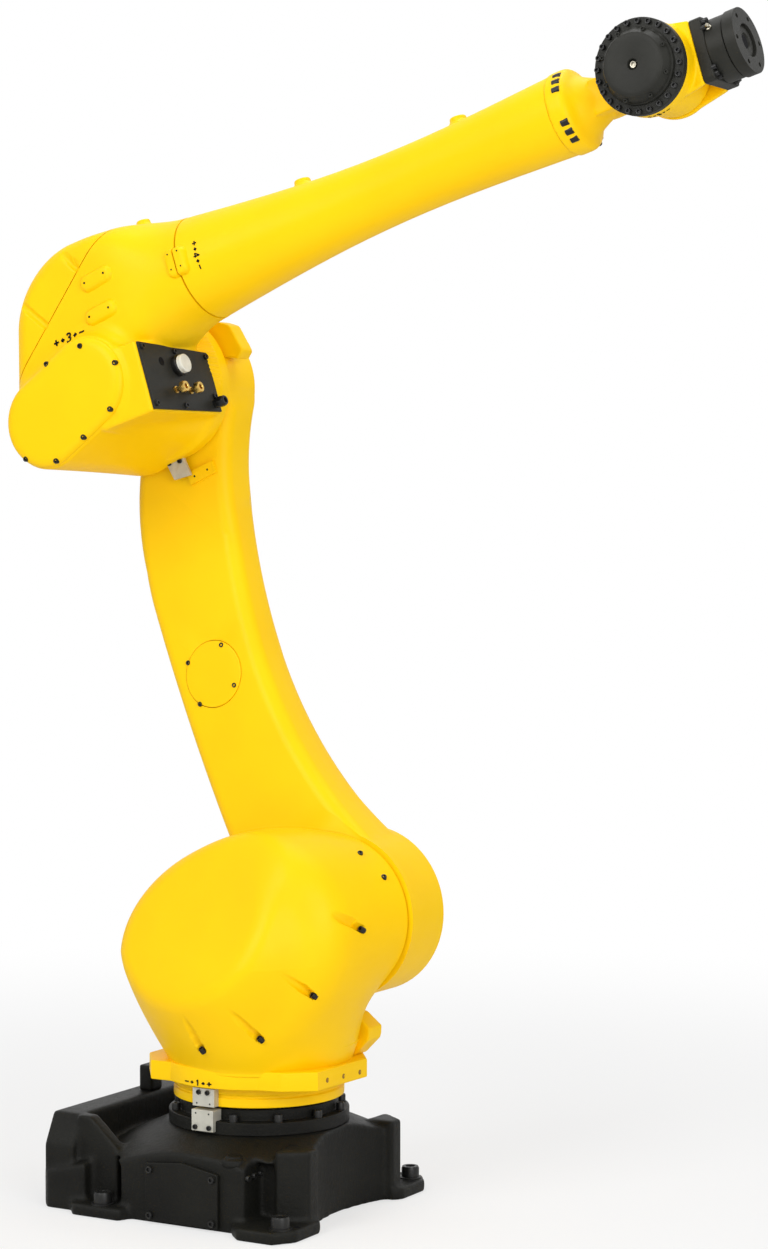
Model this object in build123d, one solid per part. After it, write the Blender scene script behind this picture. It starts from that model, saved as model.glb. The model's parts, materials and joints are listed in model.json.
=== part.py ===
import os
from build123d import *

# Driving dimensions, in millimetres and degrees
j2_offset = 150
j2_height = 580
lower_arm_length = 1150
lower_arm_lean = -23.5
elbow_offset = 164
forearm_length = 1295
forearm_pitch = 17.45
wrist_pitch = 16.3
wrist_length = 172
running_gap = 5

# Base casting and bearing ring
base_rear = -355
base_side = 250
base_front = 225
front_hollow = 183
foot_height = 24
foot_bolt_x = 205
foot_bolt_y = 250
foot_bolt_radius = 11
rear_wall_top = 186
rear_wall_inner = -285
block_top = 160
ring_radius = 180
ring_bottom = 170
ring_ledge = 196
ring_top = 218
neck_radius = 158

# Turret
turret_ring_radius = 170
turret_ring_bottom = ring_top + running_gap
flange_bottom = 262
flange_top = 300
flange_radius = 195
flange_front = 213
seam_y = 57
seam_radius = 158
arm_sweep_floor = 335
face_centre = (15, -212, 560)
face_normal = (-0.2, -0.86, 0.45)
scoop_radius = 10
scoop_length = 170
scoop_seats = ((270, -67, 576), (211, -146, 459), (123, -191, 375), (10, -214, 347), (-108, -184, 357))

# Lower arm
hub_inner = seam_y + running_gap
hub_outer = 187
hub_radius = 167
elbow_hub_inner = 142
elbow_hub_outer = 252
elbow_hub_radius = 141
arm_rear = -224
arm_front = 4
rear_waist = 740
front_waist = 570
near_rise = 200
near_flat = 820
cover_radius = 70
cover_height = 559
cover_offset = -114
cover_tilt = 7.35
cover_depth = 12
cover_proud = 2

# Elbow
elbow_seam = elbow_hub_inner - running_gap
flange_disc_radius = 152
drum_radius = 94
drum_reach = 126
drum_tilt = 20
drum_near = -150
drum_far = 130
drum_cover_thickness = 14
drum_far_radius = 120
drum_far_reach = 85
drum_far_tilt = 10
hub_disc_near = 103
box_front = 132
box_far = 98
box_bottom = -98
box_top_near = 41.5
box_top_far = 27.5
box_margin = 4
panel_front = box_front + 5
housing_half = 116
housing_top = 297
crown_radius = 132
pad_face = -126
j4_seam = 250
j4_gap = 3
root_rise = housing_top - elbow_offset
j4_radius = 105.5
root_corner = 45
middle_half = 118
middle_rise = 126
middle_corner = 105

# Forearm and wrist
tube_waist = 67
tube_end = 77.5
wrist_seam = 1085
wrist_rim = 80
neck_half = 34
tongue_half = 40
cheek_inner = tongue_half + running_gap
cheek_outer = 57
near_ring = 91
far_ring = 66
disc_radius = 88
disc_thickness = 18
cap_radius = 70
cap_height = 28
cap_bevel = 9
plate_back = 91
plate_thickness = 23
plate_half = 60
housing_radius = 60
flange_disc = 62.5
flange_thickness = 22
flange_pcd_radius = 50
flange_bore_radius = 31.5

# Frames of the six moving bodies at rest
arm_frame = Location((j2_offset, 0, j2_height), (0, lower_arm_lean, 0))
elbow_point = (arm_frame * Location((0, 0, lower_arm_length))).position
elbow_frame = Location(elbow_point, (0, -forearm_pitch, 0))
wrist_point = (elbow_frame * Location((forearm_length, 0, elbow_offset))).position
wrist_frame = Location(wrist_point, (0, -wrist_pitch, 0))
up_align = (Align.CENTER, Align.CENTER, Align.MIN)


def rod_z(radius, z0, z1, x=0, y=0):
    """Upright cylinder between two heights."""
    return Pos(x, y, z0) * Cylinder(radius, z1 - z0, align=up_align)


def rod_x(radius, x0, x1, y=0, z=0):
    """Cylinder along X."""
    return Pos(x0, y, z) * Rot(0, 90, 0) * Cylinder(radius, x1 - x0, align=up_align)


def rod_y(radius, y0, y1, x=0, z=0):
    """Cylinder along Y."""
    return Pos(x, y0, z) * Rot(-90, 0, 0) * Cylinder(radius, y1 - y0, align=up_align)


def slab_y(sketch, y0, y1):
    """Side profile in the X-Z plane carried from y0 to y1."""
    return extrude(Plane.XZ.offset(-y1) * sketch, amount=y1 - y0)


def block(x0, x1, y0, y1, z0, z1):
    """Box between two corners."""
    return Pos(x0, y0, z0) * Box(x1 - x0, y1 - y0, z1 - z0, align=(Align.MIN, Align.MIN, Align.MIN))


def profile(*points):
    """Closed straight-sided face."""
    return make_face(Polyline(*points, close=True))


def turned(*points):
    """Profile of radius and height turned about the Z axis."""
    return revolve(Plane.XZ * profile(*points), Axis.Z)


# Base casting
def base_casting():
    """Cast foot: walls under a conical roof, tall rear wall, corner towers, foot pockets."""
    rear_side = [(base_front, -172), (118, -base_side), (-340, -base_side), (base_rear, -235)]
    far_side = [(x, -y) for x, y in reversed(rear_side)]
    walls = Polyline(*rear_side, *far_side)
    front = ThreePointArc((base_front, 172), (front_hollow, 0), (base_front, -172))
    body = extrude(make_face([walls, front]), amount=rear_wall_top)
    roof = turned((0, 0), (460, 0), (460, 60), (290, 118), (248, 143), (186, ring_bottom), (0, ring_bottom))
    casting = body & roof
    casting += rear_wall()
    for side in (1, -1):
        casting -= foot_pockets(side)
    for side in (1, -1):
        casting += corner_blocks(side)
    for side in (1, -1):
        casting -= foot_bolt_holes(side)
    return casting


def rear_wall():
    """Tall cross wall at the back with bevelled ends."""
    bevel = 60
    ends = profile((-240, 0), (240, 0), (240, rear_wall_top - bevel), (240 - 30, rear_wall_top),
                   (-240 + 30, rear_wall_top), (-240, rear_wall_top - bevel))
    return extrude(Plane.YZ.offset(base_rear) * ends, amount=rear_wall_inner - base_rear)


def corner_blocks(side):
    """Feet, front corner tower and rear wing of one side."""
    foot_front = profile((100, -190), (225, -140), (240, -160), (240, -248), (212, -288), (132, -290),
                         (100, -262))
    foot_rear = profile((-270, -200), (-120, -200), (-150, -278), (-258, -278), (-285, -250))
    tower = profile((165, -140), (base_front, -140), (base_front, -178), (174, -213), (165, -206))
    wing = profile((rear_wall_inner, 0), (-190, 0), (-190, 128), (-255, rear_wall_top),
                   (rear_wall_inner, rear_wall_top))
    pieces = extrude(foot_front, amount=foot_height)
    pieces += extrude(foot_rear, amount=foot_height)
    pieces += extrude(tower, amount=block_top)
    pieces += slab_y(wing, -222, -190)
    return pieces if side > 0 else mirror(pieces, Plane.XZ)


def foot_pockets(side):
    """Upright recesses over the four foot bolts."""
    notch = block(122, 320, -320, -212, foot_height, 200)
    front = block(122, 172, -320, -188, foot_height, 134)
    rear = block(-250, -165, -320, -196, foot_height, 116)
    cuts = fillet(front.edges().filter_by(Axis.Y), 14) + fillet(rear.edges().filter_by(Axis.Y), 16) + notch
    return cuts if side > 0 else mirror(cuts, Plane.XZ)


def foot_bolt_holes(side):
    """Two floor bolt holes of one side."""
    rear = rod_z(foot_bolt_radius, -1, foot_height + 1, -foot_bolt_x, -foot_bolt_y * side)
    front = rod_z(foot_bolt_radius, -1, foot_height + 1, foot_bolt_x, -foot_bolt_y * side)
    return rear + front


def base_side_cover():
    """Cover plate on the near wall with an arched top."""
    face = profile((-100, 6), (68, 6), (68, 112), (-15, 126), (-100, 118))
    return slab_y(face, -base_side - 8, -base_side)


def rear_stop_post():
    """Upright post on the rear wall."""
    post = block(-325, -292, 46, 90, rear_wall_top, 238)
    return fillet(post.edges().filter_by(Axis.Z), 8)


def j1_bearing_ring():
    """Bearing ring with a bolt ledge and a narrower neck."""
    return turned((0, ring_bottom), (ring_radius, ring_bottom), (ring_radius, ring_ledge),
                  (neck_radius, ring_ledge), (neck_radius, ring_top), (0, ring_top))


def mark_plate(y0, y1, z0, z1):
    """Flat zero-mark plate that faces the near side."""
    return block(-36, 14, y0, y1, z0, z1)


# Turret
def turret_casting():
    """Ring, flange plate and the egg-shaped housing with the drum of the second axis."""
    plate = Circle(flange_radius)
    plate += profile((0, -190), (148, -156), (205, -112), (flange_front, 62), (168, 122), (0, 190))
    plate += profile((0, -165), (-146, -168), (-196, -100), (-196, 100), (-146, 168), (0, 165))
    casting = rod_z(turret_ring_radius, turret_ring_bottom, flange_bottom)
    casting += Pos(0, 0, flange_bottom) * extrude(plate, amount=flange_top - flange_bottom)
    casting += turret_dome()
    return casting


def turret_dome():
    """Egg-shaped housing cut off at the arm seam, with a tilted near face and bolt scoops along it."""
    rings = [(flange_top - 5, 12, -10, 182), (350, 8, -26, 204), (420, 0, -42, 230), (510, -4, -50, 244),
             (600, 2, -48, 232), (660, 12, -42, 200), (705, 24, -36, 150), (735, 40, -30, 84)]
    egg = loft([Plane((x, y, z)) * Circle(radius) for z, x, y, radius in rings])
    cone = [(seam_y, j2_offset, j2_height, seam_radius), (0, 126, 573, 167.5), (-60, 101, 566, 177.5),
            (-120, 76, 559, 180), (-190, 42, 548, 138)]
    egg += loft([Plane.XZ.offset(-y) * Pos(x, z) * Circle(radius) for y, x, z, radius in cone])
    egg -= block(-400, 400, seam_y, 400, arm_sweep_floor, 800)
    egg -= Plane(origin=face_centre, z_dir=face_normal) * Box(900, 900, 300, align=up_align)
    for seat in scoop_seats:
        egg -= Plane(origin=seat, z_dir=face_normal) * Cylinder(scoop_radius, scoop_length, align=up_align)
    return egg


def turret_mark_plate():
    """Zero-mark plate on the turret ring."""
    return mark_plate(-186, -150, turret_ring_bottom + 1, flange_bottom - 2) - turret_casting_solid


def base_mark_plate():
    """Zero-mark plate on the bearing ring."""
    return mark_plate(-190, -160, ring_bottom + 6, ring_top) - j1_bearing_ring()


def turret_stop_block():
    """Wedge stop in front of the pedestal, below the arm hub."""
    face = profile((140, flange_top), (178, flange_top), (212, 334), (214, 357), (180, 384), (140, 384))
    return slab_y(face, 70, 122) - turret_casting_solid


# Lower arm, drawn upright with its height along the arm
def lower_arm():
    """Bowed arm with a hub at each end: side outline and front outline carried through each other."""
    rear = [TangentArc((arm_rear, rear_waist), (-168, 0), tangent=(0, -1)),
            TangentArc((arm_rear, rear_waist), (-150, 1020), tangent=(0, 1))]
    front = [TangentArc((arm_front, front_waist), (128, 105), tangent=(0, -1)),
             TangentArc((arm_front, front_waist), (36, 860), tangent=(0, 1)),
             TangentArc((36, 860), (118, 1045), tangent=(0.223, 1))]
    top = Polyline((-150, 1020), (-140, 1150), (140, 1150), (118, 1045))
    foot = Polyline((-168, 0), (166, 0), (128, 105))
    side = make_face([*rear, *front, top, foot])
    edges = profile((hub_inner, 0), (hub_inner, near_rise), (elbow_hub_inner, near_flat),
                    (elbow_hub_inner, 1200), (elbow_hub_outer, 1200), (elbow_hub_outer, 900),
                    (hub_outer, near_rise), (hub_outer, 0))
    arm = slab_y(side, 0, 300) & extrude(Plane.YZ.offset(-300) * edges, amount=600)
    corners = [edge for edge in arm.edges() if edge.length > 120 and abs(edge.tangent_at(0.5).Z) > 0.5]
    arm = fillet(corners, 30)
    arm += rod_y(hub_radius, hub_inner, hub_outer)
    arm += rod_y(elbow_hub_radius, elbow_hub_inner, elbow_hub_outer, z=lower_arm_length)
    return arm_frame * arm


def lower_arm_cover():
    """Round access cover let into the near face."""
    near = hub_inner + (cover_height - near_rise) * (elbow_hub_inner - hub_inner) / (near_flat - near_rise)
    seat = Pos(cover_offset, near, cover_height) * Rot(90 - cover_tilt, 0, 0)
    return arm_frame * seat * Pos(0, 0, cover_proud - cover_depth / 2) * Cylinder(cover_radius, cover_depth)


def lower_arm_stop_ear():
    """Stop ear on the elbow hub."""
    ear = profile((90, 62), (137, 78), (162, 75), (182, 58), (191, -3), (174, -14), (120, 17))
    ear_solid = slab_y(ear, elbow_hub_inner + 8, elbow_hub_inner + 50)
    return arm_frame * Pos(0, 0, lower_arm_length) * ear_solid - lower_arm_solid


def lower_arm_mark_pad():
    """Raised pad under the elbow for the zero mark of the third axis."""
    middle = lower_arm_length - 195
    pad = block(-27, 40, elbow_hub_inner - 7, elbow_hub_inner + 10, middle - 13, middle + 13)
    return arm_frame * pad - lower_arm_solid


# Elbow, drawn with X along the forearm and the third axis at its origin
def drum_slot(grow=0):
    """Oblong outline of the drum."""
    turn = Rot(0, 0, drum_tilt)
    return turn * Pos(-drum_reach / 2, 0) * SlotCenterToCenter(drum_reach, 2 * (drum_radius + grow))


def drum():
    """Drum of the third axis: a long oblong at the near end, a short and thick one at the arm."""
    far_end = SlotCenterToCenter(drum_far_reach, 2 * drum_far_radius)
    far_end = Pos(10, -28) * Rot(0, 0, drum_far_tilt) * Pos(-drum_far_reach / 2, 0) * far_end
    return loft([Plane.XZ.offset(-drum_near) * drum_slot(), Plane.XZ.offset(-drum_far) * far_end])


def elbow_body():
    """Housing and motor cover in one, before they are parted."""
    outline = profile((62, 31), (62, housing_top), (-132, housing_top), (-215, 25), (-150, -10), (0, 0))
    crown = outline.vertices().sort_by_distance((-132, housing_top))[0]
    body = slab_y(fillet(crown, crown_radius), -housing_half, housing_half)
    sides = body.edges().filter_by(Axis.Y, reverse=True)
    rim = [edge for edge in sides if edge.center().Z > 100 and edge.center().X < 50]
    return fillet(rim, root_corner) + Pos(0, 0, elbow_offset) * forearm_root()


def cover_wedge():
    """Half space above and behind the slanted parting plane."""
    return slab_y(profile((130, 310), (-260, 9), (-500, 9), (-500, 600), (130, 600)), -300, 300)


def elbow_motor_cover():
    """Slanted cover over the motors behind the forearm."""
    return elbow_frame * (elbow_body() & cover_wedge())


def elbow_casting():
    """Drum, housing, forearm ring, hub disc and connector box."""
    casting = elbow_body() + drum()
    casting += rod_y(flange_disc_radius, hub_disc_near, elbow_seam)
    casting += extrude(Plane.YZ.offset(20) * offset(panel_face(), box_margin), amount=box_front - 20)
    return elbow_frame * (casting - cover_wedge())


def forearm_root():
    """Squared section of the housing that turns round towards the forearm seam."""
    squared = Plane.YZ.offset(60) * RectangleRounded(2 * housing_half, 2 * root_rise, root_corner)
    middle = Plane.YZ.offset(150) * RectangleRounded(2 * middle_half, 2 * middle_rise, middle_corner)
    end = Plane.YZ.offset(j4_seam - 12) * RectangleRounded(2 * j4_radius, 2 * j4_radius, j4_radius - 1)
    return loft([squared, middle, end]) + rod_x(j4_radius, j4_seam - 40, j4_seam - j4_gap)


def elbow_side_cover():
    """Oblong plate on the drum."""
    plate = slab_y(drum_slot(-3), drum_near - drum_cover_thickness, drum_near)
    return elbow_frame * plate


def panel_face():
    """Outline of the connector panel, seen from the front."""
    near = drum_near + 2 * box_margin
    return profile((near, box_bottom), (near, box_top_near), (box_far, box_top_far), (box_far, box_bottom))


def connector_panel():
    """Plate that closes the connector box."""
    return elbow_frame * extrude(Plane.YZ.offset(box_front) * panel_face(), amount=panel_front - box_front)


def round_connector():
    """Collar and cap of the large connector."""
    return elbow_frame * (rod_x(22, panel_front, 150, -24, -6) + rod_x(19, 150, 160, -24, -6))


def air_fitting(y):
    """Hexagonal air fitting."""
    return elbow_frame * (rod_x(6, panel_front, 152, y, -57) + rod_x(12, 152, 164, y, -57))


def cable_gland():
    """Gland at the corner of the connector box."""
    return elbow_frame * (rod_x(11, panel_front, 150, 80, -82) + rod_x(14, 150, 166, 80, -82))


def oblong_pad(x, z):
    """Raised oblong pad on the near side of the housing."""
    pad = Rot(0, 0, 5) * SlotCenterToCenter(46, 28)
    return elbow_frame * slab_y(Pos(x, z) * pad, pad_face, -100) - elbow_casting_solid


def elbow_mark_plate():
    """Zero-mark plate that hangs from the hub disc beside the lower arm."""
    plate = slab_y(profile((-43, -144), (2, -150), (9, -192), (-32, -190)), 122, 130)
    return elbow_frame * plate - elbow_casting_solid


def elbow_lifting_boss():
    """Small boss on top of the elbow."""
    return elbow_frame * rod_z(14, housing_top - 30, housing_top + 9, 132) - elbow_casting_solid


def elbow_seam_pad():
    """Half of the zero-mark pad on the elbow side of the forearm seam."""
    return elbow_frame * seam_pad(j4_seam - 24, j4_seam - j4_gap) - elbow_casting_solid


def seam_pad(x0, x1):
    """Pad across the near side of the forearm seam."""
    return block(x0, x1, -j4_radius - 8, -90, elbow_offset - 22, elbow_offset + 30)


# Forearm and wrist casting
def forearm_tube():
    """Waisted tube from the elbow seam to the wrist seam."""
    waist = Spline((j4_radius, j4_seam), (87.5, 406), (72.5, 578), (tube_waist, 811), (73, 988),
                   (tube_end, wrist_seam))
    ends = Polyline((tube_end, wrist_seam), (0, wrist_seam), (0, j4_seam), (j4_radius, j4_seam))
    tube = Rot(0, 90, 0) * revolve(Plane.XZ * make_face([waist, ends]), Axis.Z)
    return elbow_frame * Pos(0, 0, elbow_offset) * tube


def forearm_seam_pad():
    """Half of the zero-mark pad on the forearm side of the seam."""
    return elbow_frame * seam_pad(j4_seam, j4_seam + 21) - forearm_tube_solid


def lifting_boss(x, radius):
    """Small boss on top of the tube."""
    top = elbow_offset + radius
    boss = rod_z(16, top - 8, top + 12, x)
    return elbow_frame * boss - forearm_tube_solid


def wrist_casting():
    """Round flange that flares in to a flat neck, with the round boss of the fifth axis."""
    waist = neck_half + 5
    flare = Spline((wrist_rim, 1110), (62, 1131), (47, 1155), (waist, 1185), tangents=[(0, 1), (0, 1)])
    rim = Polyline((waist, 1185), (0, 1185), (0, wrist_seam), (wrist_rim, wrist_seam), (wrist_rim, 1110))
    casting = Rot(0, 90, 0) * revolve(Plane.XZ * make_face([flare, rim]), Axis.Z)
    casting += block(1160, forearm_length, -tongue_half, tongue_half, -neck_half, neck_half)
    casting += rod_y(76, -tongue_half, tongue_half, forearm_length)
    return elbow_frame * Pos(0, 0, elbow_offset) * casting


# Wrist, drawn with X along the tool axis and the fifth axis at its origin
def wrist_housing():
    """Two cheeks round the neck boss, joined by a wedge-shaped web behind the square plate."""
    outline = Circle(78) + profile((0, -78), (plate_back, -plate_half), (plate_back, plate_half), (0, 78))
    housing = slab_y(outline, -cheek_outer, cheek_outer)
    housing += rod_y(disc_radius - 1, -near_ring, -cheek_outer)
    housing += rod_y(66, cheek_outer, far_ring)
    throat = profile((74, 30), (plate_back, plate_half), (plate_back, 130), (-200, 130), (-200, -130),
                     (plate_back, -130), (plate_back, -plate_half), (74, -30))
    slot = slab_y(Circle(83) + throat, -cheek_inner, cheek_inner)
    return wrist_frame * (housing - slot)


def wrist_cover_near():
    """Black round cover of the fifth axis."""
    return wrist_frame * rod_y(disc_radius, -near_ring - disc_thickness, -near_ring)


def wrist_cover_far():
    """Plain round cover on the far cheek."""
    return wrist_frame * rod_y(60, far_ring, far_ring + 8)


def wrist_cap():
    """Raised cap on the near cover."""
    outer = -near_ring - disc_thickness
    cap = rod_y(cap_radius, outer - cap_height, outer)
    return wrist_frame * chamfer(cap.edges().sort_by(Axis.Y)[0], cap_bevel)


def wrist_plate():
    """Square plate in front of the housing."""
    shape = RectangleRounded(2 * cheek_outer, 2 * plate_half, 10)
    plane = Plane(origin=(plate_back, 0, 0), x_dir=(0, 1, 0), z_dir=(1, 0, 0))
    return wrist_frame * extrude(plane * shape, amount=plate_thickness)


def flange_housing():
    """Round housing between the square plate and the tool flange."""
    front = wrist_length - flange_thickness - 2
    return wrist_frame * rod_x(housing_radius, plate_back + plate_thickness, front)


def tool_flange():
    """Tool flange with its bolt circle and centre bore."""
    disc = rod_x(flange_disc, wrist_length - flange_thickness, wrist_length)
    disc -= rod_x(flange_bore_radius, wrist_length - 8, wrist_length + 1)
    holes = Sketch() + [spot * Circle(4.25) for spot in PolarLocations(flange_pcd_radius, 6)]
    plane = Plane(origin=(wrist_length, 0, 0), x_dir=(0, 1, 0), z_dir=(1, 0, 0))
    disc -= extrude(plane * holes, amount=-14)
    return wrist_frame * disc


os.makedirs("parts", exist_ok=True)
turret_casting_solid = turret_casting()
elbow_casting_solid = elbow_casting()
forearm_tube_solid = forearm_tube()
cover = lower_arm_cover()
lower_arm_solid = lower_arm() - cover
nodes = {
    "base_casting": base_casting(),
    "base_side_cover": base_side_cover(),
    "base_mark_plate": base_mark_plate(),
    "rear_stop_post": rear_stop_post(),
    "j1_bearing_ring": j1_bearing_ring(),
    "turret_casting": turret_casting_solid,
    "turret_stop_block": turret_stop_block(),
    "turret_mark_plate": turret_mark_plate(),
    "lower_arm": lower_arm_solid,
    "lower_arm_cover": cover,
    "lower_arm_stop_ear": lower_arm_stop_ear(),
    "lower_arm_mark_pad": lower_arm_mark_pad(),
    "elbow_casting": elbow_casting_solid,
    "elbow_motor_cover": elbow_motor_cover(),
    "elbow_side_cover": elbow_side_cover(),
    "elbow_pad_upper": oblong_pad(65, 198),
    "elbow_pad_lower": oblong_pad(56, 130),
    "elbow_seam_pad": elbow_seam_pad(),
    "elbow_lifting_boss": elbow_lifting_boss(),
    "elbow_mark_plate": elbow_mark_plate(),
    "connector_panel": connector_panel(),
    "round_connector": round_connector(),
    "air_fitting_near": air_fitting(-52),
    "air_fitting_far": air_fitting(0),
    "cable_gland": cable_gland(),
    "forearm_tube": forearm_tube_solid,
    "forearm_seam_pad": forearm_seam_pad(),
    "lifting_boss_rear": lifting_boss(510, 77),
    "lifting_boss_front": lifting_boss(870, 68),
    "wrist_casting": wrist_casting(),
    "wrist_housing": wrist_housing(),
    "wrist_cover_near": wrist_cover_near(),
    "wrist_cover_far": wrist_cover_far(),
    "wrist_cap": wrist_cap(),
    "wrist_plate": wrist_plate(),
    "flange_housing": flange_housing(),
    "tool_flange": tool_flange(),
}
for name, solid in nodes.items():
    export_step(solid, f"parts/{name}.step")
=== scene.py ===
import json
import math
import bmesh
import bpy
import numpy as np
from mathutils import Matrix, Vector


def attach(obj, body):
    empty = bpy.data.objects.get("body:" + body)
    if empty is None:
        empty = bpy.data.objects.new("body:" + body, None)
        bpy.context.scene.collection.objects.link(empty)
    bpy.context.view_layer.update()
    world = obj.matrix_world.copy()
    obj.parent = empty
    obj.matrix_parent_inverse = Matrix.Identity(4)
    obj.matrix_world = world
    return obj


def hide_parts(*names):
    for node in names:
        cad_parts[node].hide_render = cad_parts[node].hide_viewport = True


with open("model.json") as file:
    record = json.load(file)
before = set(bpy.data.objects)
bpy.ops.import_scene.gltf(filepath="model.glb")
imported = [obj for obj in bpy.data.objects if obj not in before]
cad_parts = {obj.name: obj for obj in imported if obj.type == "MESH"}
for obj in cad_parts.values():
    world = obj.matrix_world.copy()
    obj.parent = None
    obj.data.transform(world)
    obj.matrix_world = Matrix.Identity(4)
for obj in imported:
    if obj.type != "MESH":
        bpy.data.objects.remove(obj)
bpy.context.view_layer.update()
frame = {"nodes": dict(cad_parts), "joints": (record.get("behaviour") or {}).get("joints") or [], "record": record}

print("frame loaded:", len(frame["nodes"]), "nodes")

# frames of the moving bodies: origin in metres, axes as rows; drawings on them are in millimetres
joints = {joint["name"]: joint for joint in frame["joints"]}
acrossAxis = np.array([0.0, 1.0, 0.0])
outward, inward, forward, upward, downward = (0, -1, 0), (0, 1, 0), (1, 0, 0), (0, 0, 1), (0, 0, -1)


def jointFrame(origin, along):
    # x runs along the given direction, y across the arm, z completes the set
    along = np.array(along) / np.linalg.norm(along)
    return np.array(origin), np.array([along, acrossAxis, np.cross(along, acrossAxis)])


jointPlace = {name: np.array(joint["pos_m"]) for name, joint in joints.items()}
armUp = jointPlace["j3_elbow"] - jointPlace["j2_lower_arm"]
worldFrame = jointFrame((0, 0, 0), (1, 0, 0))
armFrame = jointFrame(jointPlace["j2_lower_arm"], np.cross(acrossAxis, armUp))
elbowFrame = jointFrame(jointPlace["j3_elbow"], joints["j4_forearm_roll"]["axis"])
wristFrame = jointFrame(jointPlace["j5_wrist_bend"], joints["j6_tool_turn"]["axis"])
forearmLift = np.dot(jointPlace["j4_forearm_roll"] - jointPlace["j3_elbow"], elbowFrame[1][2]) * 1000
bodyFrames = {"base": worldFrame, "turret": worldFrame, "lower_arm": armFrame, "elbow": elbowFrame,
              "forearm": elbowFrame, "wrist": wristFrame, "tool": wristFrame}


def toWorld(place, points):
    return place[0] + np.asarray(points, float) / 1000 @ place[1]


# shader sockets with arithmetic, and one way to make any node
class Wire:
    def __init__(self, tree, socket=None):
        self.tree, self.socket = tree, socket

    def node(self, kind, settings=None, inputs=None, out=0):
        made = self.tree.nodes.new(kind)
        for key, value in (settings or {}).items():
            if key == "stops":
                ramp = made.color_ramp.elements
                while len(ramp) < len(value):
                    ramp.new(0.5)
                for stop, (spot, colour) in zip(ramp, value):
                    stop.position, stop.color = spot, colour
            else:
                setattr(made, key, value)
        for key, value in (inputs or {}).items():
            if isinstance(value, Wire):
                self.tree.links.new(value.socket, made.inputs[key])
            else:
                made.inputs[key].default_value = value
        return Wire(self.tree, made.outputs[out]) if made.outputs else made

    def maths(self, operation, first, second):
        return self.node("ShaderNodeMath", {"operation": operation}, {0: first, 1: second})

    def __add__(self, other): return self.maths("ADD", self, other)
    def __radd__(self, other): return self.maths("ADD", other, self)
    def __mul__(self, other): return self.maths("MULTIPLY", self, other)

    def noise(self, scale, detail):
        coords = self.node("ShaderNodeTexCoord", out="Object")
        return self.node("ShaderNodeTexNoise", None, {"Vector": coords, "Scale": scale, "Detail": detail}, "Fac")

    def ramp(self, low, high):
        stops = [(low, (0, 0, 0, 1)), (high, (1, 1, 1, 1))]
        return self.node("ShaderNodeValToRGB", {"stops": stops}, {"Fac": self}, "Color")

    def mixColour(self, first, second):
        return self.node("ShaderNodeMix", {"data_type": "RGBA"}, {"Factor": self, 6: first, 7: second}, 2)

    def bump(self, distance):
        return self.node("ShaderNodeBump", None, {"Height": self, "Distance": distance, "Strength": 1.0}, "Normal")


# span of the drift between two tones, detail of the broad, middle and fine noise
drift = {"span": (0.35, 0.65), "details": (3.0, 4.0, 2.0)}


def finishOf(name, look):
    # colour drifts between two tones on a broad noise, gloss on a middle one, and fine noise lifts the skin
    first, second = name.split("_")
    material = bpy.data.materials.new(first + second.title())
    material.use_nodes = True
    tree = material.node_tree
    shader = tree.nodes["Principled BSDF"]
    pen = Wire(tree)
    broad, middle, fine = [pen.noise(scale, detail) for scale, detail in zip(look["scales"], drift["details"])]
    smooth, rough = look["roughness"]
    tones = [(*tone, 1) for tone in look["tones"]]
    tree.links.new(broad.ramp(*drift["span"]).mixColour(*tones).socket, shader.inputs["Base Color"])
    tree.links.new((smooth + middle * (rough - smooth)).socket, shader.inputs["Roughness"])
    fineLift, middleLift = look["lifts"]
    skin = fine * fineLift + middle * middleLift
    tree.links.new(skin.bump(look["depth"]).socket, shader.inputs["Normal"])
    for key, value in look["fixed"].items():
        shader.inputs[key].default_value = value
    return material


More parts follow.
